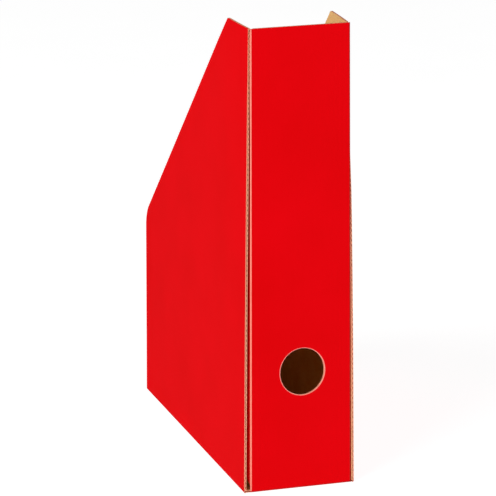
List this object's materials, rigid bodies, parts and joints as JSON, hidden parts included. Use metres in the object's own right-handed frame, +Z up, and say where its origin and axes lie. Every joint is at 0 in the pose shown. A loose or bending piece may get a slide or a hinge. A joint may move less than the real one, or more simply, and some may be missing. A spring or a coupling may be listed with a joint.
{
  "type": "magazine file",
  "caption": "Tall open-topped magazine file of thin corrugated board with a sloping top, a low back and a round finger hole in its narrow front.",
  "frame": {"origin": "centre of the underside of the base, on the surface that the file stands on", "axes": "+Z up, the tall front with the finger hole faces -Y, +X to the right of someone looking at that front, depth along Y"},
  "size_m": [0.0772, 0.24, 0.315],
  "materials": {
    "base_panel_board": "matt red printed liner outside, plain kraft liner inside",
    "left_side_panel_board": "matt red printed liner outside, plain kraft liner inside",
    "right_side_panel_board": "matt red printed liner outside, plain kraft liner inside",
    "front_panel_board": "matt red printed liner outside, plain kraft liner inside",
    "back_panel_board": "matt red printed liner outside, plain kraft liner inside",
    "front_left_flap_board": "plain kraft liner inside, red liner against the side panel",
    "front_right_flap_board": "plain kraft liner inside, red liner against the side panel",
    "back_left_flap_board": "plain kraft liner inside, red liner against the side panel",
    "back_right_flap_board": "plain kraft liner inside, red liner against the side panel"
  },
  "bodies": {
    "base_panel": {"base_panel": "base_panel_board"},
    "left_side_panel": {"left_side_panel": "left_side_panel_board"},
    "right_side_panel": {"right_side_panel": "right_side_panel_board"},
    "front_panel": {"front_panel": "front_panel_board"},
    "back_panel": {"back_panel": "back_panel_board"},
    "front_left_flap": {"front_left_flap": "front_left_flap_board"},
    "front_right_flap": {"front_right_flap": "front_right_flap_board"},
    "back_left_flap": {"back_left_flap": "back_left_flap_board"},
    "back_right_flap": {"back_right_flap": "back_right_flap_board"}
  },
  "joints": [
    {"name": "left_side_crease", "type": "hinge", "parent": "base_panel", "child": "left_side_panel", "pos_m": [-0.0386, 0, 0], "axis": [0, -1, 0], "range_deg": [0, 90]},
    {"name": "right_side_crease", "type": "hinge", "parent": "base_panel", "child": "right_side_panel", "pos_m": [0.0386, 0, 0], "axis": [0, 1, 0], "range_deg": [0, 90]},
    {"name": "front_crease", "type": "hinge", "parent": "base_panel", "child": "front_panel", "pos_m": [0, -0.12, 0], "axis": [1, 0, 0], "range_deg": [0, 90]},
    {"name": "back_crease", "type": "hinge", "parent": "base_panel", "child": "back_panel", "pos_m": [0, 0.12, 0], "axis": [-1, 0, 0], "range_deg": [0, 90]},
    {"name": "front_left_flap_crease", "type": "hinge", "parent": "front_panel", "child": "front_left_flap", "pos_m": [-0.0342, -0.12, 0], "axis": [0, 0, 1], "range_deg": [0, 90]},
    {"name": "front_right_flap_crease", "type": "hinge", "parent": "front_panel", "child": "front_right_flap", "pos_m": [0.0366, -0.12, 0], "axis": [0, 0, -1], "range_deg": [0, 90]},
    {"name": "back_left_flap_crease", "type": "hinge", "parent": "back_panel", "child": "back_left_flap", "pos_m": [-0.0342, 0.12, 0], "axis": [0, 0, -1], "range_deg": [0, 90]},
    {"name": "back_right_flap_crease", "type": "hinge", "parent": "back_panel", "child": "back_right_flap", "pos_m": [0.0366, 0.12, 0], "axis": [0, 0, 1], "range_deg": [0, 90]}
  ],
  "couplings": [
    {"joint": "front_left_flap_crease", "follows": "left_side_crease", "ratio": 1},
    {"joint": "back_left_flap_crease", "follows": "left_side_crease", "ratio": 1},
    {"joint": "front_right_flap_crease", "follows": "right_side_crease", "ratio": 1},
    {"joint": "back_right_flap_crease", "follows": "right_side_crease", "ratio": 1}
  ]
}
